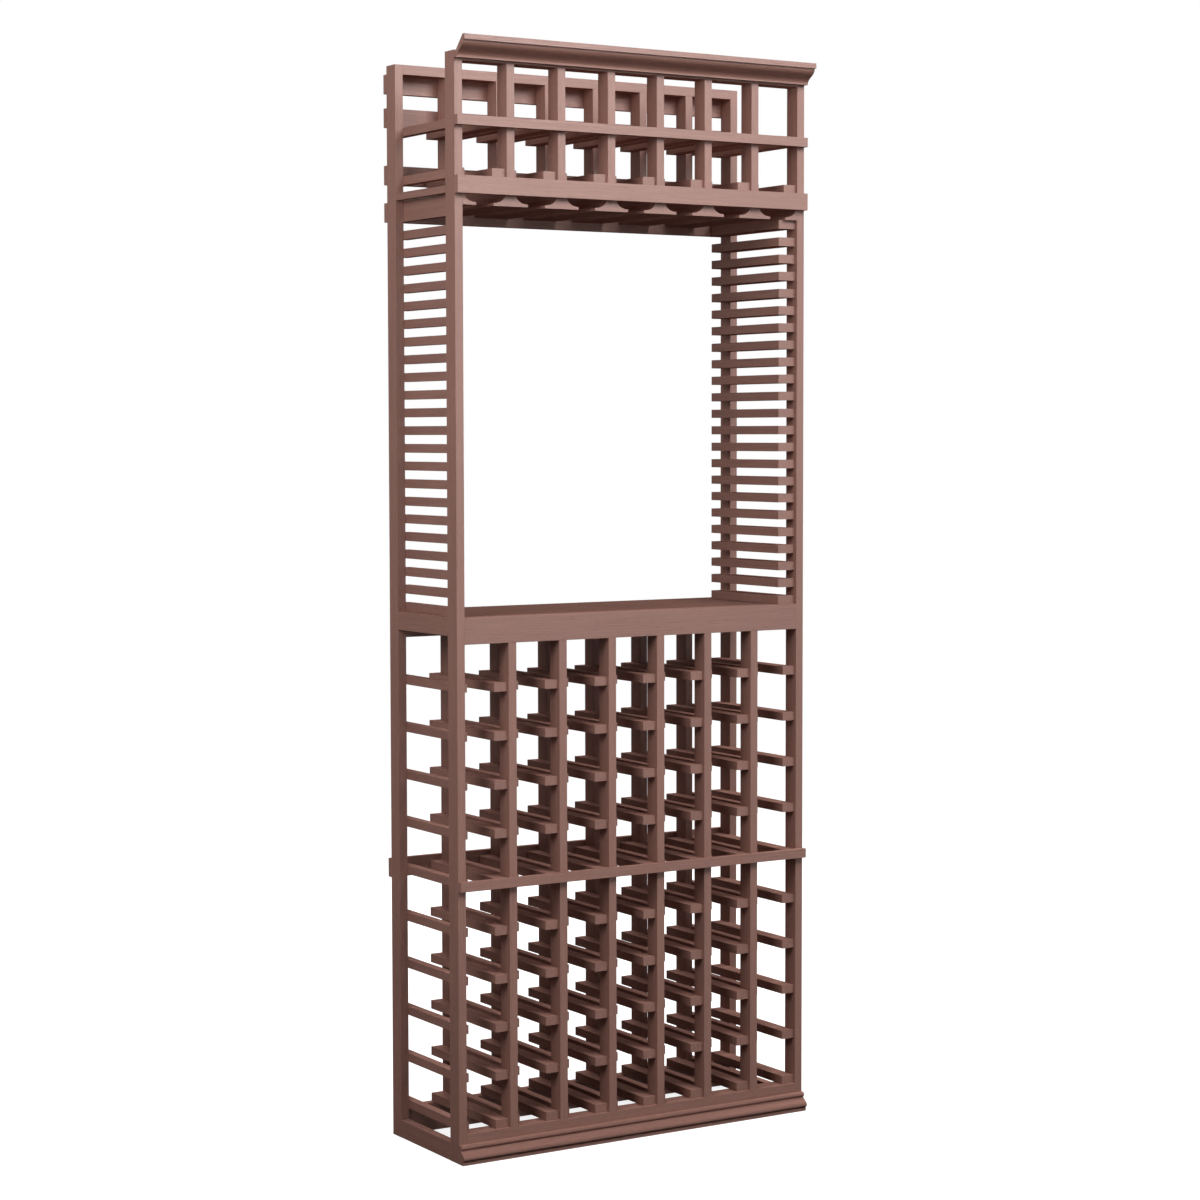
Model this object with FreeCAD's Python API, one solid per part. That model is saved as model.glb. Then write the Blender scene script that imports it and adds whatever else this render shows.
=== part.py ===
"""Wine tasting station: a wall rack of sticks with bottle cells below and above an open serving alcove.

Built from the front left foot: X to the right, Y to the rear, Z up, and shifted at the end so that the
origin lies on the floor, at the middle of the overall box.
"""
import os

import FreeCAD
import Part

V = FreeCAD.Vector

# Driving dimensions, in millimetres.

# Ladders: pairs of uprights that stand side by side, one column pitch apart.
columns = 7
column_pitch = 114.3
post_width = 17.5
post_depth = 36.5
frame_depth = 277.0

# Bottle rails, nailed to the sides of the uprights: a narrow one at the left of each cell, a wide one at
# the right.
left_rail_width = 17.5
right_rail_width = 29.0
rail_height = 17.5
left_rail_setback = 24.0
right_rail_setback = 6.0
row_pitch = 95.25
lower_rows = 10
upper_rows = 2
under_strip_rows = 5
lower_head_room = 77.0
upper_head_room = 103.5

# Plinth, lower at the sides, and toe moulding.
plinth_height = 57.0
side_plinth_height = 36.0
toe_height = 38.0
toe_depth = 19.0

# Serving table.
apron_height = 52.0
side_apron_height = 36.5
table_thickness = 17.5
table_rebate = 12.0
table_overhang = 12.7

# Slats that close the two sides of the alcove, narrow at the left and wide at the right.
slat_count = 23
left_slat_width = 15.0
right_slat_width = 40.0
slat_height = 17.5
slat_gap = 17.5
left_slat_setback = 27.5
right_slat_setback = 8.0
slat_rear_lap = 12.0

# Stem rack, whose flared rails hold glasses by the foot.
stem_rail_width = 76.0
stem_rail_height = 23.5
stem_neck_width = 23.5
stem_neck_height = 3.5
stem_lip_height = 5.2
base_rail_height = 14.5

# Strips across the front and back.
strip_thickness = 12.7
front_strip_height = 19.0
rear_strip_height = 38.0
fascia_height = 34.0
fascia_lap = 3.0
top_rail_height = 19.0
rear_strip_1_drop = 16.0
rear_strip_2_rise = 21.5
rear_strip_3_rise = 4.0
rear_strip_4_rise = 2.5

# Crown moulding.
crown_height = 40.5
crown_projection = 41.5
crown_lap = 15.0
crown_foot = 12.0
crown_step = 5.4
crown_band_height = 10.3
crown_band_depth = 8.0
crown_seat = 6.0

# Screws in the rear strips and the two wall-fixing holes.
screw_length = 38.0
screw_radius = 2.0
screw_head_radius = 4.0
screw_head_height = 2.4
screw_tip_length = 6.0
screw_recess_width = 0.9
screw_recess_length = 4.4
screw_recess_depth = 1.5
screw_clearance = 0.1
wall_hole_radius = 2.75
wall_hole_spacing = 406.4

# Edge finish and the overrun of cutting tools.
edge_round = 0.6
edge_round_limit_share = 0.25
overrun = 2.0

# Outlines as shares: forward and up for the toe, across and up for the cove of a stem rail.
toe_foot_share = 0.79
toe_foot_rise_share = 0.16
toe_torus_start_shares = (0.72, 0.19)
toe_torus_crest_shares = (1.0, 0.35)
toe_torus_end_shares = (0.85, 0.49)
toe_groove_shares = (0.34, 0.7)
toe_bead_start_shares = (0.34, 0.74)
toe_bead_crest_shares = (0.48, 0.86)
toe_bead_end_shares = (0.24, 1.0)
cove_pull_shares = (0.22, 0.04)
crown_curve_pull_share = 0.5

# Levels and places that follow from them.
ladders = columns + 1
width = columns * column_pitch + post_width
inner_width = width - 2 * post_width
rear_inner = frame_depth - post_depth
rear_face = frame_depth + strip_thickness
ladder_x = [i * column_pitch for i in range(ladders)]
inner_x = ladder_x[1:-1]
right_x = ladder_x[-1]

top_rail_level = plinth_height + (lower_rows - 1) * row_pitch
apron_level = top_rail_level + rail_height + lower_head_room
table_level = apron_level + apron_height
table_underside = table_level - table_thickness
slat_pitch = slat_height + slat_gap
stem_level = table_level + slat_count * slat_pitch - slat_gap
base_rail_level = stem_level + stem_rail_height
upper_level = base_rail_level + base_rail_height
fascia_level = base_rail_level - fascia_lap
upper_rail_level = fascia_level + fascia_height
high_rail_level = upper_rail_level + (upper_rows - 1) * row_pitch
top_level = high_rail_level + rail_height + upper_head_room
post_top = top_level + top_rail_height
crown_level = post_top - crown_lap
strip_rail_level = plinth_height + under_strip_rows * row_pitch
mid_strip_centre = strip_rail_level + rail_height / 2
high_strip_centre = high_rail_level + rail_height / 2

rear_strip_centres = {
    "rear_strip_1": top_level - rear_strip_1_drop,
    "rear_strip_2": high_rail_level + rail_height + rear_strip_2_rise,
    "rear_strip_3": upper_rail_level + rail_height + rear_strip_3_rise,
    "rear_strip_4": stem_level + rear_strip_4_rise,
    "mid_strip_rear": mid_strip_centre,
}

# Screws run along the middle of each strip, but in the lowest one along the middle of the stem rails.
screw_levels = dict(rear_strip_centres)
screw_levels["rear_strip_4"] = stem_level + stem_rail_height / 2


def bar(low, high, along):
    """A straight stick between two corners, its long edges eased."""
    size = [b - a for a, b in zip(low, high)]
    solid = Part.makeBox(*size, V(*low))
    axis = V(*[1 if name == along else 0 for name in "xyz"])
    section = [s for s, name in zip(size, "xyz") if name != along]
    radius = min(edge_round, edge_round_limit_share * min(section))
    long_edges = [e for e in solid.Edges if round(e.Curve.Direction.dot(axis))]
    return solid.makeFillet(radius, long_edges)


def line(a, b):
    return Part.LineSegment(a, b).toShape()


def arc(a, b, c):
    return Part.Arc(a, b, c).toShape()


def bezier(points):
    curve = Part.BezierCurve()
    curve.setPoles(points)
    return curve.toShape()


def prism(edges, travel):
    """The solid that a closed outline sweeps."""
    return Part.Face(Part.Wire(edges)).extrude(travel)


def screw_places():
    """Each rear strip is screwed to every ladder, at the middle of its width."""
    return [(x + post_width / 2, z) for z in screw_levels.values() for x in ladder_x]


def screw_at(place):
    """A countersunk screw driven forward from the back of a strip."""
    x, z = place
    forward = V(0, -1, 0)
    head = V(x, rear_face, z)
    neck = V(x, rear_face - screw_head_height, z)
    shank_length = screw_length - screw_head_height - screw_tip_length
    tip = neck + forward * shank_length
    solid = Part.makeCone(screw_head_radius, screw_radius, screw_head_height, head, forward)
    solid = solid.fuse(Part.makeCylinder(screw_radius, shank_length, neck, forward))
    solid = solid.fuse(Part.makeCone(screw_radius, 0, screw_tip_length, tip, forward))
    slot = (screw_recess_length, screw_recess_width)
    for across, up in (slot, slot[::-1]):
        corner = V(x - across / 2, rear_face - screw_recess_depth, z - up / 2)
        solid = solid.cut(Part.makeBox(across, screw_recess_depth + overrun, up, corner))
    return solid.removeSplitter()


def screw_hole(place):
    """The countersunk hole that a screw sits in, with its clearance all round."""
    x, z = place
    forward = V(0, -1, 0)
    head_radius = screw_head_radius + screw_clearance
    shank_radius = screw_radius + screw_clearance
    mouth = Part.makeCylinder(head_radius, overrun, V(x, rear_face + overrun, z), forward)
    sink = Part.makeCone(head_radius, shank_radius, screw_head_height, V(x, rear_face, z), forward)
    bore = Part.makeCylinder(shank_radius, screw_length + screw_clearance, V(x, rear_face, z), forward)
    return mouth.fuse([sink, bore])


def drilled(solid):
    """A piece with the holes of every screw that enters it."""
    box = solid.BoundBox
    for x, z in screw_places():
        if box.XMin < x < box.XMax and box.ZMin < z < box.ZMax:
            solid = solid.cut(screw_hole((x, z)))
    return solid


def upright(x, y, low, high):
    return bar((x, y, low), (x + post_width, y + post_depth, high), "z")


def front_uprights(low, high):
    """The uprights between the corner posts, at the front."""
    return [upright(x, 0, low, high) for x in inner_x]


def rear_uprights(low, high):
    """The uprights between the corner posts, at the rear, drilled for the strips' screws."""
    return [drilled(upright(x, rear_inner, low, high)) for x in inner_x]


def cross_bar(y, depth, low, height):
    """A bar between the corner posts."""
    return bar((post_width, y, low), (width - post_width, y + depth, low + height), "x")


def strip(y, low, height):
    """A strip across all the ladders, flush with their outer sides."""
    return bar((0, y, low), (width, y + strip_thickness, low + height), "x")


def front_strip(centre):
    """A narrow strip across the front, centred on the ends of a row of rails."""
    return strip(-strip_thickness, centre - front_strip_height / 2, front_strip_height)


def rear_strip(centre):
    """A wide strip across the back, drilled for its screws."""
    return drilled(strip(frame_depth, centre - rear_strip_height / 2, rear_strip_height))


def wall_strip(centre):
    """A rear strip with the two holes that fix the station to a wall."""
    solid = rear_strip(centre)
    for side in (-1, 1):
        start = V(width / 2 + side * wall_hole_spacing / 2, frame_depth - overrun, centre)
        hole = Part.makeCylinder(wall_hole_radius, strip_thickness + 2 * overrun, start, V(0, 1, 0))
        solid = solid.cut(hole)
    return solid


def side_bar(x, low, height):
    """A bar between a front and a rear corner post."""
    return bar((x, post_depth, low), (x + post_width, rear_inner, low + height), "y")


def rail_row(level):
    """One row of bottle rails: a rail on each side of every cell."""
    solids = []
    rear = frame_depth - right_rail_setback
    high = level + rail_height
    for x in ladder_x[:-1]:
        left = x + post_width
        right = x + column_pitch
        left_end = (left + left_rail_width, rear, high)
        right_start = (right - right_rail_width, right_rail_setback, level)
        solids.append(bar((left, left_rail_setback, level), left_end, "y"))
        solids.append(bar(right_start, (right, rear, high), "y"))
    return solids


def slats(x, across, front):
    """The slats on the inner side of one pair of corner posts, stacked from the table up."""
    solids = []
    for i in range(slat_count):
        level = table_level + i * slat_pitch
        low = (x, front, level)
        high = (x + across, rear_inner + slat_rear_lap, level + slat_height)
        solids.append(bar(low, high, "y"))
    return solids


def cove(side, middle):
    """The hollow curve from the lip of a stem rail up to its neck."""
    neck = stem_neck_width / 2
    tip = stem_rail_width / 2
    rise = stem_rail_height - stem_neck_height - stem_lip_height
    across_share, up_share = cove_pull_shares
    lip = V(middle + side * tip, 0, stem_level + stem_lip_height)
    pull = V(middle + side * (neck + across_share * (tip - neck)), 0, lip.z + up_share * rise)
    top = V(middle + side * neck, 0, lip.z + rise)
    return bezier([lip, pull, top])


def stem_rail(x):
    """A flared rail under one ladder, with a lip and a cove on each side."""
    middle = x + post_width / 2
    right = cove(1, middle)
    left = cove(-1, middle)
    lip_right, neck_right = right.Vertexes[0].Point, right.Vertexes[1].Point
    lip_left, neck_left = left.Vertexes[0].Point, left.Vertexes[1].Point
    rise = V(0, 0, stem_neck_height)
    drop = V(0, 0, stem_lip_height)
    edges = [
        line(lip_left - drop, lip_right - drop),
        line(lip_right - drop, lip_right),
        right,
        line(neck_right, neck_right + rise),
        line(neck_right + rise, neck_left + rise),
        line(neck_left + rise, neck_left),
        left,
        line(lip_left, lip_left - drop),
    ]
    return prism(Part.__sortEdges__(edges), V(0, frame_depth, 0))


def half_stem_rail(x, inner_low):
    """The part of a stem rail that lies between the corner posts."""
    low = V(inner_low, -overrun, stem_level - overrun)
    size = (stem_rail_width, frame_depth + 2 * overrun, stem_rail_height + 2 * overrun)
    return stem_rail(x).common(Part.makeBox(*size, low))


def toe_moulding():
    """Foot band, torus, groove and bead, across the front of the plinth."""

    def point(shares):
        forward_share, up_share = shares
        return V(0, -forward_share * toe_depth, up_share * toe_height)

    foot = point((toe_foot_share, 0))
    foot_top = point((toe_foot_share, toe_foot_rise_share))
    torus_start = point(toe_torus_start_shares)
    torus_end = point(toe_torus_end_shares)
    groove = point(toe_groove_shares)
    bead_start = point(toe_bead_start_shares)
    bead_end = point(toe_bead_end_shares)
    corner = V(0, 0, 0)
    top = V(0, 0, toe_height)
    edges = [
        line(corner, foot),
        line(foot, foot_top),
        line(foot_top, torus_start),
        arc(torus_start, point(toe_torus_crest_shares), torus_end),
        line(torus_end, groove),
        line(groove, bead_start),
        arc(bead_start, point(toe_bead_crest_shares), bead_end),
        line(bead_end, top),
        line(top, corner),
    ]
    return prism(edges, V(width, 0, 0))


def crown_moulding():
    """A sprung crown: an ogee under a flat band, with a sloped back."""

    def point(forward, up):
        return V(0, -forward, crown_level + up)

    curve_rise = crown_height - crown_band_height
    curve_front = crown_projection - crown_step
    pull = crown_curve_pull_share * curve_rise
    back = point(0, 0)
    foot = point(crown_foot, 0)
    curve_top = point(curve_front, curve_rise)
    band_low = point(crown_projection, curve_rise)
    band_top = point(crown_projection, crown_height)
    band_back = point(crown_projection - crown_band_depth, crown_height)
    seat = point(0, crown_seat)
    edges = [
        line(back, foot),
        bezier([foot, point(crown_foot, pull), point(curve_front, curve_rise - pull), curve_top]),
        line(curve_top, band_low),
        line(band_low, band_top),
        line(band_top, band_back),
        line(band_back, seat),
        line(seat, back),
    ]
    return prism(edges, V(width, 0, 0))


def apron_front():
    """The front apron, rebated along its back for the table."""
    solid = cross_bar(0, post_depth, apron_level, apron_height)
    low = V(post_width - overrun, post_depth - table_rebate, table_underside)
    size = (inner_width + 2 * overrun, table_rebate + overrun, table_thickness + overrun)
    return solid.cut(Part.makeBox(*size, low))


def table_top():
    """The serving board, seated in the front apron and on the rear one."""
    low = (post_width, post_depth - table_rebate, table_underside)
    high = (width - post_width, frame_depth + table_overhang, table_level)
    return bar(low, high, "x")


def base_rail(x):
    return bar((x, 0, base_rail_level), (x + post_width, frame_depth, upper_level), "y")


def build():
    """Every node's name and its solids."""
    nodes = {}
    nodes["post_front_left"] = [upright(0, 0, 0, post_top)]
    nodes["post_front_right"] = [upright(right_x, 0, 0, post_top)]
    nodes["post_rear_left"] = [drilled(upright(0, rear_inner, 0, post_top))]
    nodes["post_rear_right"] = [drilled(upright(right_x, rear_inner, 0, post_top))]
    nodes["lower_front_uprights"] = front_uprights(plinth_height, apron_level)
    nodes["lower_rear_uprights"] = rear_uprights(plinth_height, apron_level)
    nodes["upper_front_uprights"] = front_uprights(upper_level, top_level)
    nodes["upper_rear_uprights"] = rear_uprights(upper_level, top_level)

    for row in range(lower_rows):
        nodes[f"bottle_rails_row_{row + 1:02d}"] = rail_row(plinth_height + row * row_pitch)
    for row in range(upper_rows):
        nodes[f"upper_rails_row_{row + 1}"] = rail_row(upper_rail_level + row * row_pitch)

    nodes["plinth_front"] = [cross_bar(0, post_depth, 0, plinth_height)]
    nodes["plinth_rear"] = [cross_bar(frame_depth - post_width, post_width, 0, plinth_height)]
    nodes["plinth_left"] = [side_bar(0, 0, side_plinth_height)]
    nodes["plinth_right"] = [side_bar(right_x, 0, side_plinth_height)]
    nodes["toe_moulding"] = [toe_moulding()]

    rear_apron_height = table_underside - apron_level
    side_apron_level = table_level - side_apron_height
    nodes["apron_front"] = [apron_front()]
    nodes["apron_rear"] = [cross_bar(rear_inner, post_depth, apron_level, rear_apron_height)]
    nodes["apron_left"] = [side_bar(0, side_apron_level, side_apron_height)]
    nodes["apron_right"] = [side_bar(right_x, side_apron_level, side_apron_height)]
    nodes["table_top"] = [table_top()]
    right_slat_x = right_x - right_slat_width
    nodes["alcove_slats_left"] = slats(post_width, left_slat_width, left_slat_setback)
    nodes["alcove_slats_right"] = slats(right_slat_x, right_slat_width, right_slat_setback)

    for number, x in enumerate(inner_x, start=1):
        nodes[f"stem_rail_{number}"] = [drilled(stem_rail(x))]
    nodes["stem_rail_half_left"] = [half_stem_rail(0, post_width)]
    nodes["stem_rail_half_right"] = [half_stem_rail(right_x, right_x - stem_rail_width)]
    nodes["ladder_base_rails"] = [base_rail(x) for x in inner_x]
    nodes["side_rail_left"] = [side_bar(0, base_rail_level, base_rail_height)]
    nodes["side_rail_right"] = [side_bar(right_x, base_rail_level, base_rail_height)]

    nodes["fascia_board"] = [strip(-strip_thickness, fascia_level, fascia_height)]
    nodes["mid_strip_front"] = [front_strip(mid_strip_centre)]
    nodes["upper_strip_front"] = [front_strip(high_strip_centre)]
    for name, centre in rear_strip_centres.items():
        make = wall_strip if name == "rear_strip_2" else rear_strip
        nodes[name] = [make(centre)]
    nodes["strip_screws"] = [screw_at(place) for place in screw_places()]

    nodes["top_rail_front"] = [cross_bar(0, post_depth, top_level, top_rail_height)]
    nodes["top_rail_rear"] = [cross_bar(rear_inner, post_depth, top_level, top_rail_height)]
    nodes["crown_moulding"] = [crown_moulding()]
    return nodes


def main():
    os.makedirs("parts", exist_ok=True)
    middle = V(width / 2, (rear_face - crown_projection) / 2, 0)
    for name, solids in build().items():
        shape = Part.makeCompound(solids)
        shape.translate(middle * -1)
        shape.exportStep(f"parts/{name}.step")


main()
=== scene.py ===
"""Looks of a wine tasting station: stained wood on every stick, plated screws, and a pale stage.

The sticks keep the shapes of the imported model. Their grain runs along each stick, and every stick is cut
from another place in the board.
"""
import math

import bpy
from bpy.props import FloatProperty, FloatVectorProperty, PointerProperty
from mathutils import Matrix, Vector


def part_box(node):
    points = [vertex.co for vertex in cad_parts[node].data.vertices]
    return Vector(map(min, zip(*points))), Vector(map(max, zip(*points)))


bl_info = {
    "name": "Wine Tasting Station",
    "version": (1, 0, 0),
    "blender": (4, 5, 0),
    "location": "View3D > Sidebar > Station",
    "description": "Stains the sticks of a wine tasting station, plates its screws and sets its stage",
    "category": "Object",
}

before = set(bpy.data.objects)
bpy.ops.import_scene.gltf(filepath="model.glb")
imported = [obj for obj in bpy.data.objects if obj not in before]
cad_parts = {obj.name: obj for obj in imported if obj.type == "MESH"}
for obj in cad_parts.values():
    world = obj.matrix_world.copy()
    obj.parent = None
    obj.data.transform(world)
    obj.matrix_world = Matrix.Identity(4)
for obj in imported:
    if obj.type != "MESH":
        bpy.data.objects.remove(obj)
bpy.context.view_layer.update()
AXES = "xyz"
FORWARD = (0, -1, 0)
LEFTWARD = (-1, 0, 0)
RIGHTWARD = (1, 0, 0)

# Places and pitches of the sticks, read from the frame.
COLUMNS = 7
SLATS = 23
POST_LOW, POST_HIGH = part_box("post_front_left")
COLUMN_PITCH = (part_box("post_front_right")[0].x - POST_LOW.x) / COLUMNS
LADDER_X = (POST_LOW.x + POST_HIGH.x) / 2
SLAT_LOW, SLAT_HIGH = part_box("alcove_slats_left")
# Slats and the gaps between them are equally high, and the stack ends with a slat.
SLAT_PITCH = (SLAT_HIGH.z - SLAT_LOW.z) / (SLATS - 0.5)

# A cell larger than the station, for the axes along which sticks aren't parted.
WHOLE = 100.0
WHOLE_START = -WHOLE / 2

# A stick is cut from anywhere within this reach, in metres, and the step parts the seeds of the nodes.
BOARD_REACH = (3, 3, 3)
SEED_STEP = 97.0

# The band of a noise that is spread over a layer of the wood, and the share that each layer has.
GRAIN_BAND = (0.3, 0.7)
PORE_BAND = (0.6, 0.72)
TONE_SHARES = {"blotch": 0.35, "ring": 0.3, "fibre": 0.4}
PORE_SHARE = 0.32
WEAR_SHARE = 0.45
RELIEF_SHARE = 0.5

# Wear starts at the first flatness and is full at the second. Fibres change the roughness by the spread.
EDGE_BAND = (0.98, 0.7)
SHEEN_SPREAD = 0.07
# A face takes the lacquer of a direction where it looks that way by more than this share.
FACING_SHARE = 0.9

# Dull patches in the plating of the screws.
PATCH_BAND = (0.35, 0.7)
PATCH_SPREAD = 0.18
PATCH_RELIEF_SHARE = 0.3

# Colour of the light in the room and of the glow of the floor.
WHITE = (1, 1, 1, 1)

# Softboxes: where each stands, the point that it is aimed at, and its width and height, in metres.
SOFTBOXES = {
    "key": ((0.8, -2.7, 3.65), (-0.35, 0, 2.2), (1.8, 1.8)),
    "front": ((-2.0, -6.0, 4.2), (0, 0, 1.1), (3.0, 3.0)),
    "side": ((-2.5, -1.05, 2.4), (-0.4, 0, 1.6), (1.4, 1.4)),
    "right": ((2.6, 0.02, 3.5), (0.41, 0.02, 1.2), (0.25, 1.6)),
    "back": ((1.0, 3.2, 2.0), (0, 0, 1.2), (2.0, 2.0)),
}


def linear(code):
    """The linear colour of an sRGB hex value."""
    shares = [int(code[i:i + 2], 16) / 255 for i in (1, 3, 5)]
    return [s / 12.92 if s <= 0.04045 else ((s + 0.055) / 1.055) ** 2.4 for s in shares]


def add_node(tree, kind, inputs=None, **settings):
    """Adds a node with its settings. An input is a value, a socket, or a node, for its first output."""
    node = tree.nodes.new(kind)
    for name, value in settings.items():
        setattr(node, name, value)
    for key, value in (inputs or {}).items():
        named = [s for s in node.inputs if s.name == key and s.enabled]
        socket = named[0] if named else node.inputs[key]
        if isinstance(value, bpy.types.Node):
            value = [s for s in value.outputs if s.enabled][0]
        if isinstance(value, bpy.types.NodeSocket):
            tree.links.new(value, socket)
        else:
            socket.default_value = value
    return node


def colour_property(name, description, code):
    return FloatVectorProperty(
        name=name, description=description, default=linear(code), subtype="COLOR", size=3, min=0, max=1
    )


def length_property(name, description, value):
    return FloatProperty(
        name=name, description=description, default=value, unit="LENGTH", min=0, precision=5
    )


def share_property(name, description, value):
    return FloatProperty(
        name=name, description=description, default=value, subtype="FACTOR", min=0, max=1
    )


def power_property(name, description, value):
    return FloatProperty(name=name, description=description, default=value, unit="POWER", min=0)


def angle_property(name, description, degrees):
    value = math.radians(degrees)
    return FloatProperty(name=name, description=description, default=value, subtype="ANGLE")


def place_property(name, description, value):
    return FloatVectorProperty(
        name=name, description=description, default=value, subtype="TRANSLATION", size=3
    )


class StationWood(bpy.types.PropertyGroup):
    """Stain, grain and lacquer of the sticks."""

    dark: colour_property("Dark stain", "Stain in the dense late wood", "#8A665D")
    light: colour_property("Light stain", "Stain in the open early wood", "#A57A6D")
    pore: colour_property("Pores", "Stain that has pooled in the open pores", "#5A413A")
    worn: colour_property("Worn edge", "Wood where handling has thinned the stain", "#B8958B")
    # The table's colour is darkened to this share: painted shade, for the shade that falls on it under the
    # upper part of the station.
    table_painted_shade: share_property("Second coat", "Share of the colour that a second coat leaves", 0.53)
    ring_width: length_property("Ring width", "Width of a growth ring on the face of a stick", 0.009)
    ring_length: length_property("Ring length", "How far a ring keeps its course", 0.34)
    fibre_width: length_property("Fibre width", "Width of a streak of fibres", 0.0018)
    fibre_length: length_property("Fibre length", "Length of a streak of fibres", 0.09)
    pore_width: length_property("Pore width", "Width of a pore line", 0.0009)
    pore_length: length_property("Pore length", "Length of a pore line", 0.014)
    blotch: length_property("Blotch", "Size of the patches where the stain took unevenly", 0.16)
    wear_reach: length_property("Wear reach", "How far the wear reaches in from an edge", 0.0014)
    relief: length_property("Relief", "Depth of the grain under the lacquer", 0.0003)
    roughness: share_property("Roughness", "Roughness of the satin lacquer", 0.5)
    gloss: share_property("Gloss", "How strongly the lacquer mirrors on the upper front", 0.92)
    foot_gloss: share_property("Foot gloss", "How strongly the lacquer mirrors at the foot", 0.22)
    side_gloss: share_property("Side gloss", "How strongly the lacquer mirrors on the upper sides", 0.06)
    lacquer_height: length_property("Lacquer height", "Height above which the lacquer is full", 1.4)


class StationScrews(bpy.types.PropertyGroup):
    """Plating of the screws."""

    zinc: colour_property("Zinc", "Plating on the screws", "#B8BAB4")
    tarnish: colour_property("Tarnish", "Dull patches in the plating", "#8C8A80")
    patch: length_property("Patch", "Size of the dull patches", 0.0025)
    relief: length_property("Relief", "Depth of the dull patches", 0.00005)
    roughness: share_property("Roughness", "Roughness of the plating", 0.34)


class StationStage(bpy.types.PropertyGroup):
    """Floor, lamps and camera."""

    floor: colour_property("Floor", "Colour of the floor paint", "#403F3E")
    floor_shade: colour_property("Floor shade", "Grey of the floor where the background shows", "#AAAAAA")
    floor_glow: share_property("Floor glow", "Glow of the floor where the background shows", 0.83)
    floor_size: length_property("Floor size", "Side of the square floor", 60.0)
    key_power: power_property("Key", "Power of the lamp at the front right", 105)
    front_power: power_property("Front", "Power of the far lamp at the front left", 14)
    side_power: power_property("Side", "Power of the lamp at the left", 40)
    right_power: power_property("Right", "Power of the strip lamp at the right", 55)
    back_power: power_property("Back", "Power of the lamp behind", 62)
    overhead: FloatProperty(
        name="Overhead", description="Strength of the soft light from above", default=1.1, min=0
    )
    overhead_tilt: angle_property("Overhead tilt", "Lean of the light from above", -12)
    overhead_spread: angle_property("Overhead spread", "Width of the light from above in the sky", 50)
    fill: share_property("Fill", "Strength of the even light all round", 0.1)
    eye: place_property("Eye", "Place of the camera", (-2.92514, -4.69498, 1.41312))
    yaw: angle_property("Yaw", "Turn of the camera to the right", 31.846)
    pitch: angle_property("Pitch", "Tilt of the camera downwards", 3.4907)
    roll: angle_property("Roll", "Lean of the camera", -0.1063)
    lens: FloatProperty(
        name="Lens", description="Focal length of the camera", default=81.885, unit="CAMERA", min=1
    )


def repeats(axis, length, width):
    """Pattern repeats in a metre, along the grain and across it."""
    return [1 / (length if name == axis else width) for name in AXES]


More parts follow.
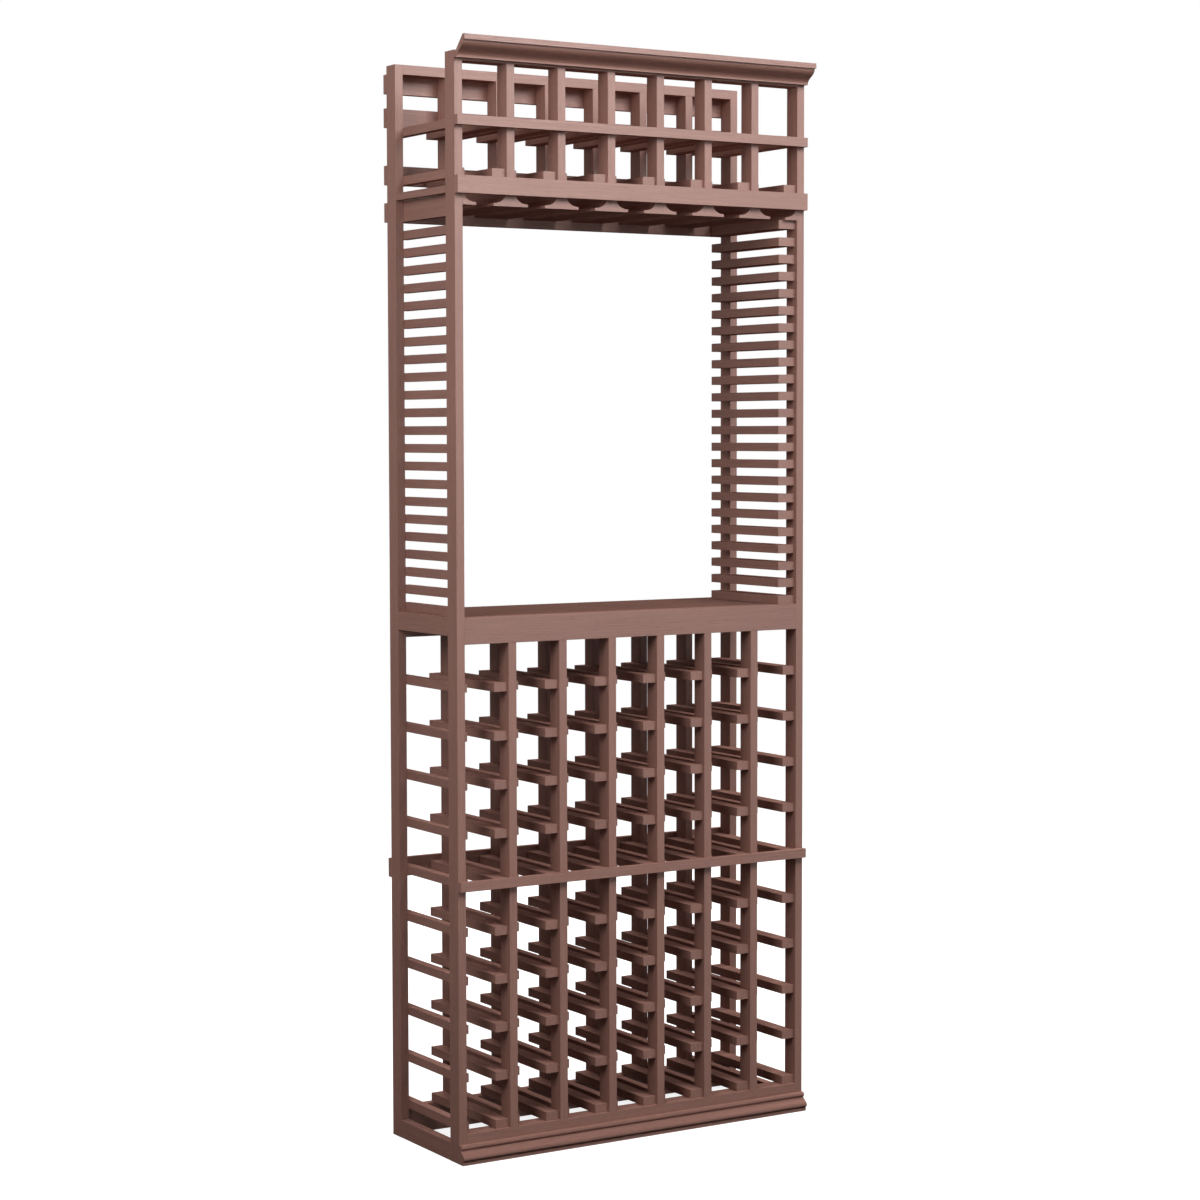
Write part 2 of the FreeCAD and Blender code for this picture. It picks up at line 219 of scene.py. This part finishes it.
def stained_mahogany(name, axis, start=(WHOLE_START,) * 3, pitch=(WHOLE,) * 3, painted_shade=1.0):
    """Mahogany, planed, stained rosy brown and sealed with a satin lacquer.

    The eye sees straight fine streaks, soft wide rings, short dark pore lines, a broad dull sheen, and
    edges that are a little paler. The grain runs along one axis. Where one node holds many sticks, start
    and pitch part them into cells, so that each has its own tone and its own piece of the pattern.
    """
    wood = bpy.context.scene.station_wood
    material = bpy.data.materials.new(name)
    material.use_nodes = True
    tree = material.node_tree
    tree.nodes.clear()

    # Each stick has a number of its own, which shifts the pattern and the tone.
    coordinates = add_node(tree, "ShaderNodeTexCoord")
    place = coordinates.outputs["Object"]
    offset = add_node(tree, "ShaderNodeVectorMath", {0: place, 1: start}, operation="SUBTRACT")
    count = add_node(tree, "ShaderNodeVectorMath", {0: offset, 1: pitch}, operation="DIVIDE")
    cell = add_node(tree, "ShaderNodeVectorMath", {0: count}, operation="FLOOR")
    node_number = add_node(tree, "ShaderNodeObjectInfo").outputs["Random"]
    seed = add_node(tree, "ShaderNodeMath", {0: node_number, 1: SEED_STEP}, operation="MULTIPLY")
    chance = add_node(tree, "ShaderNodeTexWhiteNoise", {"Vector": cell, "W": seed}, noise_dimensions="4D")
    draw = {0: chance.outputs["Color"], 1: BOARD_REACH}
    shift = add_node(tree, "ShaderNodeVectorMath", draw, operation="MULTIPLY")
    board = add_node(tree, "ShaderNodeVectorMath", {0: place, 1: shift}, operation="ADD")

    # Rings, fibres and pores are long along the grain and narrow across it. Real pores are about a
    # third as wide, and are drawn this coarse so that they show.
    layers = {
        "ring": (repeats(axis, wood.ring_length, wood.ring_width), 2, GRAIN_BAND),
        "fibre": (repeats(axis, wood.fibre_length, wood.fibre_width), 3, GRAIN_BAND),
        "pore": (repeats(axis, wood.pore_length, wood.pore_width), 1, PORE_BAND),
        "blotch": (repeats(axis, wood.blotch, wood.blotch), 2, GRAIN_BAND),
    }
    pattern = {}
    for layer, (scale, detail, (low, high)) in layers.items():
        where = add_node(tree, "ShaderNodeVectorMath", {0: board, 1: scale}, operation="MULTIPLY")
        noise = add_node(tree, "ShaderNodeTexNoise", {"Vector": where, "Scale": 1.0, "Detail": detail})
        spread = {"Value": noise, "From Min": low, "From Max": high}
        pattern[layer] = add_node(tree, "ShaderNodeMapRange", spread)

    # The layers add up to one tone between the dark and the light stain.
    tone = chance.outputs["Value"]
    for layer, share in TONE_SHARES.items():
        tone = add_node(tree, "ShaderNodeMix", {"Factor": share, "A": tone, "B": pattern[layer]})
    # Where the painted shade is below one, it darkens both stains: painted shade under the upper part of
    # the station, used on the table.
    dark, light = ([share * painted_shade for share in stain] + [1] for stain in (wood.dark, wood.light))
    stains = {"Factor": tone, "A": dark, "B": light}
    colour = add_node(tree, "ShaderNodeMix", stains, data_type="RGBA")
    pooled = add_node(tree, "ShaderNodeMath", {0: pattern["pore"], 1: PORE_SHARE}, operation="MULTIPLY")
    pores = {"Factor": pooled, "A": colour, "B": (*wood.pore, 1)}
    colour = add_node(tree, "ShaderNodeMix", pores, data_type="RGBA")

    # Edges show where the normal, smoothed over the reach of the wear, leaves the face's own.
    geometry = add_node(tree, "ShaderNodeNewGeometry")
    softened = add_node(tree, "ShaderNodeBevel", {"Radius": wood.wear_reach}, samples=4)
    facing = {0: softened, 1: geometry.outputs["True Normal"]}
    flatness = add_node(tree, "ShaderNodeVectorMath", facing, operation="DOT_PRODUCT").outputs["Value"]
    edge = {"Value": flatness, "From Min": EDGE_BAND[0], "From Max": EDGE_BAND[1]}
    edge = add_node(tree, "ShaderNodeMapRange", edge)
    wear = add_node(tree, "ShaderNodeMath", {0: edge, 1: pattern["blotch"]}, operation="MULTIPLY")
    wear = add_node(tree, "ShaderNodeMath", {0: wear, 1: WEAR_SHARE}, operation="MULTIPLY")
    worn = {"Factor": wear, "A": colour, "B": (*wood.worn, 1)}
    colour = add_node(tree, "ShaderNodeMix", worn, data_type="RGBA")

    # Fibres stand up a little under the lacquer, pores sink, and both break the sheen.
    rough, smooth = wood.roughness + SHEEN_SPREAD, wood.roughness - SHEEN_SPREAD
    dull = {"Value": pattern["fibre"], "To Min": rough, "To Max": smooth}
    dull = add_node(tree, "ShaderNodeMapRange", dull)
    height = {0: pattern["fibre"], 1: pattern["pore"]}
    height = add_node(tree, "ShaderNodeMath", height, operation="SUBTRACT")
    relief = {"Strength": RELIEF_SHARE, "Distance": wood.relief, "Height": height}
    bump = add_node(tree, "ShaderNodeBump", relief)

    # In the photo the front pales towards the top. The lacquer is graded to give that: strong on the upper
    # front, thin at the foot and on the sides, and none on the other faces, which stay matt.
    level = add_node(tree, "ShaderNodeSeparateXYZ", {"Vector": place}).outputs["Z"]
    coats = (
        (FORWARD, wood.foot_gloss, wood.gloss),
        (LEFTWARD, 0.0, wood.side_gloss),
        (RIGHTWARD, 0.0, wood.side_gloss),
    )
    lacquer = 0.0
    for direction, foot, top in coats:
        facing = {0: coordinates.outputs["Normal"], 1: direction}
        facing = add_node(tree, "ShaderNodeVectorMath", facing, operation="DOT_PRODUCT").outputs["Value"]
        reached = add_node(tree, "ShaderNodeMapRange", {"Value": facing, "From Min": FACING_SHARE})
        gloss = {"Value": level, "From Max": wood.lacquer_height, "To Min": foot, "To Max": top}
        gloss = add_node(tree, "ShaderNodeMapRange", gloss)
        lacquer = {0: reached, 1: gloss, 2: lacquer}
        lacquer = add_node(tree, "ShaderNodeMath", lacquer, operation="MULTIPLY_ADD")
    surface = {"Base Color": colour, "Roughness": dull, "Specular IOR Level": lacquer, "Normal": bump}
    shader = add_node(tree, "ShaderNodeBsdfPrincipled", surface)
    add_node(tree, "ShaderNodeOutputMaterial", {"Surface": shader})
    return material


def plated_steel(name):
    """Steel screws, zinc plated: grey, half dull, with a faint patchy tarnish."""
    screws = bpy.context.scene.station_screws
    material = bpy.data.materials.new(name)
    material.use_nodes = True
    tree = material.node_tree
    tree.nodes.clear()
    place = add_node(tree, "ShaderNodeTexCoord").outputs["Object"]
    speckle = {"Vector": place, "Scale": 1 / screws.patch, "Detail": 3}
    noise = add_node(tree, "ShaderNodeTexNoise", speckle)
    patches = {"Value": noise, "From Min": PATCH_BAND[0], "From Max": PATCH_BAND[1]}
    patches = add_node(tree, "ShaderNodeMapRange", patches)
    tarnish = {"Factor": patches, "A": (*screws.zinc, 1), "B": (*screws.tarnish, 1)}
    colour = add_node(tree, "ShaderNodeMix", tarnish, data_type="RGBA")
    dull = {"Value": patches, "To Min": screws.roughness, "To Max": screws.roughness + PATCH_SPREAD}
    dull = add_node(tree, "ShaderNodeMapRange", dull)
    relief = {"Strength": PATCH_RELIEF_SHARE, "Distance": screws.relief, "Height": noise}
    bump = add_node(tree, "ShaderNodeBump", relief)
    surface = {"Base Color": colour, "Metallic": 1.0, "Roughness": dull, "Normal": bump}
    shader = add_node(tree, "ShaderNodeBsdfPrincipled", surface)
    add_node(tree, "ShaderNodeOutputMaterial", {"Surface": shader})
    return material


def finish_nodes(names, material):
    """Gives nodes of the frame a material."""
    for name in names:
        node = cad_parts[name]
        for material_slot in node.material_slots:
            material_slot.material = material


def nodes_named(*starts):
    return sorted(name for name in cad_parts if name.startswith(starts))


class STATION_OT_uprights(bpy.types.Operator):
    """Stain the corner posts and the uprights, with the grain upright"""

    bl_idname = "station.uprights"
    bl_label = "Posts and Uprights"

    def execute(self, context):
        finish_nodes(nodes_named("post_"), stained_mahogany("mahogany_posts", "z"))
        half = COLUMN_PITCH / 2
        start = (LADDER_X - half, WHOLE_START, WHOLE_START)
        pitch = (COLUMN_PITCH, WHOLE, WHOLE)
        material = stained_mahogany("mahogany_uprights", "z", start, pitch)
        finish_nodes(nodes_named("lower_front", "lower_rear", "upper_front", "upper_rear"), material)
        return {"FINISHED"}


class STATION_OT_bottle_rails(bpy.types.Operator):
    """Stain the rows of bottle rails, with the grain from front to back"""

    bl_idname = "station.bottle_rails"
    bl_label = "Bottle Rails"

    def execute(self, context):
        start = (LADDER_X, WHOLE_START, WHOLE_START)
        pitch = (COLUMN_PITCH / 2, WHOLE, WHOLE)
        material = stained_mahogany("mahogany_bottle_rails", "y", start, pitch)
        finish_nodes(nodes_named("bottle_rails", "upper_rails"), material)
        return {"FINISHED"}


class STATION_OT_alcove_slats(bpy.types.Operator):
    """Stain the slats at the sides of the alcove, with the grain from front to back"""

    bl_idname = "station.alcove_slats"
    bl_label = "Alcove Slats"

    def execute(self, context):
        start = (WHOLE_START, WHOLE_START, SLAT_LOW.z - SLAT_PITCH / 4)
        pitch = (WHOLE, WHOLE, SLAT_PITCH)
        material = stained_mahogany("mahogany_slats", "y", start, pitch)
        finish_nodes(nodes_named("alcove_slats"), material)
        return {"FINISHED"}


class STATION_OT_stem_rack(bpy.types.Operator):
    """Stain the stem rails and the rails above them, with the grain from front to back"""

    bl_idname = "station.stem_rack"
    bl_label = "Stem Rack"

    def execute(self, context):
        start = (LADDER_X - COLUMN_PITCH / 2, WHOLE_START, WHOLE_START)
        pitch = (COLUMN_PITCH, WHOLE, WHOLE)
        material = stained_mahogany("mahogany_stem_rack", "y", start, pitch)
        finish_nodes(nodes_named("stem_rail", "ladder_base_rails"), material)
        return {"FINISHED"}


class STATION_OT_side_pieces(bpy.types.Operator):
    """Stain the plinths, aprons and rails between the front and rear posts"""

    bl_idname = "station.side_pieces"
    bl_label = "Side Pieces"

    def execute(self, context):
        pieces = ("plinth", "apron", "side_rail")
        names = [f"{piece}_{side}" for piece in pieces for side in ("left", "right")]
        finish_nodes(names, stained_mahogany("mahogany_sides", "y"))
        return {"FINISHED"}


class STATION_OT_table(bpy.types.Operator):
    """Stain the table with a darkened colour, painted shade under the upper part of the station, with the
    grain across the station
    """

    bl_idname = "station.table"
    bl_label = "Table"

    def execute(self, context):
        # The table is darkened with painted shade, for the shade under the upper part of the station.
        painted_shade = context.scene.station_wood.table_painted_shade
        finish_nodes(nodes_named("table"), stained_mahogany("mahogany_table", "x", painted_shade=painted_shade))
        return {"FINISHED"}


class STATION_OT_cross_pieces(bpy.types.Operator):
    """Stain the plinths, aprons, strips, top rails and mouldings that run across the station"""

    bl_idname = "station.cross_pieces"
    bl_label = "Cross Pieces"

    def execute(self, context):
        names = ["plinth_front", "plinth_rear", "apron_front", "apron_rear", "upper_strip_front"]
        names += nodes_named("fascia", "mid_strip", "rear_strip", "top_rail", "crown", "toe")
        finish_nodes(names, stained_mahogany("mahogany_cross_pieces", "x"))
        return {"FINISHED"}


class STATION_OT_screws(bpy.types.Operator):
    """Plate the screws of the rear strips"""

    bl_idname = "station.screws"
    bl_label = "Screws"

    def execute(self, context):
        finish_nodes(["strip_screws"], plated_steel("zinc_plated_steel"))
        return {"FINISHED"}


def pale_floor(name):
    """Matt paint that a camera sees as a white sheet with a soft shadow on it."""
    stage = bpy.context.scene.station_stage
    material = bpy.data.materials.new(name)
    material.use_nodes = True
    tree = material.node_tree
    tree.nodes.clear()
    paint = add_node(tree, "ShaderNodeBsdfDiffuse", {"Color": (*stage.floor, 1)})
    shaded = add_node(tree, "ShaderNodeBsdfDiffuse", {"Color": (*stage.floor_shade, 1)})
    glow = add_node(tree, "ShaderNodeEmission", {"Color": WHITE, "Strength": stage.floor_glow})
    sheet = add_node(tree, "ShaderNodeAddShader", {0: shaded, 1: glow})
    mixed = add_node(tree, "ShaderNodeMixShader", {0: background_rays(tree), 1: paint, 2: sheet})
    add_node(tree, "ShaderNodeOutputMaterial", {"Surface": mixed})
    return material


def background_rays(tree):
    """One for rays that show the background: straight to the camera, mirrored, or through glass."""
    path = add_node(tree, "ShaderNodeLightPath")
    names = ("Is Camera Ray", "Is Glossy Ray", "Is Transmission Ray")
    first, second, third = (path.outputs[name] for name in names)
    either = add_node(tree, "ShaderNodeMath", {0: first, 1: second}, operation="MAXIMUM")
    return add_node(tree, "ShaderNodeMath", {0: either, 1: third}, operation="MAXIMUM")


def add_lamp(name, place, target, size, power):
    """A softbox: an even rectangle of white light, aimed at a point."""
    bpy.ops.object.light_add(type="AREA", location=place)
    lamp = bpy.context.object
    lamp.name = name
    lamp.rotation_euler = (Vector(target) - Vector(place)).to_track_quat("-Z", "Y").to_euler()
    lamp.data.shape = "RECTANGLE"
    lamp.data.size, lamp.data.size_y = size
    lamp.data.energy = power


class STATION_OT_stage(bpy.types.Operator):
    """Set the pale floor, the soft lamps and the camera"""

    bl_idname = "station.stage"
    bl_label = "Stage"

    def execute(self, context):
        stage = context.scene.station_stage
        bpy.ops.object.select_all(action="DESELECT")
        bpy.ops.mesh.primitive_plane_add(size=stage.floor_size)
        floor = context.object
        floor.name = "floor"
        floor.data.materials.append(pale_floor("white_floor_paint"))

        world = bpy.data.worlds.new("pale_room")
        world.use_nodes = True
        tree = world.node_tree
        tree.nodes.clear()
        even = add_node(tree, "ShaderNodeBackground", {"Color": WHITE, "Strength": stage.fill})
        white = add_node(tree, "ShaderNodeBackground", {"Color": WHITE, "Strength": 1.0})
        mixed = add_node(tree, "ShaderNodeMixShader", {0: background_rays(tree), 1: even, 2: white})
        add_node(tree, "ShaderNodeOutputWorld", {"Surface": mixed})
        context.scene.world = world

        for name, (place, target, size) in SOFTBOXES.items():
            add_lamp(f"{name}_lamp", place, target, size, getattr(stage, f"{name}_power"))
        bpy.ops.object.light_add(type="SUN", rotation=(stage.overhead_tilt, 0, 0))
        overhead = context.object
        overhead.name = "overhead_lamp"
        overhead.data.energy = stage.overhead
        overhead.data.angle = stage.overhead_spread

        bpy.ops.object.camera_add()
        camera = context.object
        turn = Matrix.Rotation(-stage.yaw, 4, "Z") @ Matrix.Rotation(math.pi / 2 - stage.pitch, 4, "X")
        lean = Matrix.Rotation(stage.roll, 4, "Z")
        camera.matrix_world = Matrix.Translation(stage.eye) @ turn @ lean
        camera.data.lens = stage.lens
        context.scene.camera = camera
        context.scene.view_settings.view_transform = "Standard"
        return {"FINISHED"}


class STATION_PT_panel(bpy.types.Panel):
    """Finishes and stage of the station"""

    bl_idname = "STATION_PT_panel"
    bl_label = "Wine Tasting Station"
    bl_space_type = "VIEW_3D"
    bl_region_type = "UI"
    bl_category = "Station"

    def draw(self, context):
        scene = context.scene
        for group in (scene.station_wood, scene.station_screws, scene.station_stage):
            box = self.layout.box()
            for name in group.__annotations__:
                box.prop(group, name)
        for operator in OPERATORS:
            self.layout.operator(operator.bl_idname)


OPERATORS = (
    STATION_OT_uprights,
    STATION_OT_bottle_rails,
    STATION_OT_alcove_slats,
    STATION_OT_stem_rack,
    STATION_OT_side_pieces,
    STATION_OT_table,
    STATION_OT_cross_pieces,
    STATION_OT_screws,
    STATION_OT_stage,
)
CLASSES = (StationWood, StationScrews, StationStage, *OPERATORS, STATION_PT_panel)


def register():
    for cls in CLASSES:
        bpy.utils.register_class(cls)
    bpy.types.Scene.station_wood = PointerProperty(type=StationWood)
    bpy.types.Scene.station_screws = PointerProperty(type=StationScrews)
    bpy.types.Scene.station_stage = PointerProperty(type=StationStage)


def unregister():
    del bpy.types.Scene.station_stage
    del bpy.types.Scene.station_screws
    del bpy.types.Scene.station_wood
    for cls in reversed(CLASSES):
        bpy.utils.unregister_class(cls)


def main():
    register()
    bpy.ops.station.uprights()
    bpy.ops.station.bottle_rails()
    bpy.ops.station.alcove_slats()
    bpy.ops.station.stem_rack()
    bpy.ops.station.side_pieces()
    bpy.ops.station.table()
    bpy.ops.station.cross_pieces()
    bpy.ops.station.screws()
    bpy.ops.station.stage()


if __name__ == "__main__":
    main()
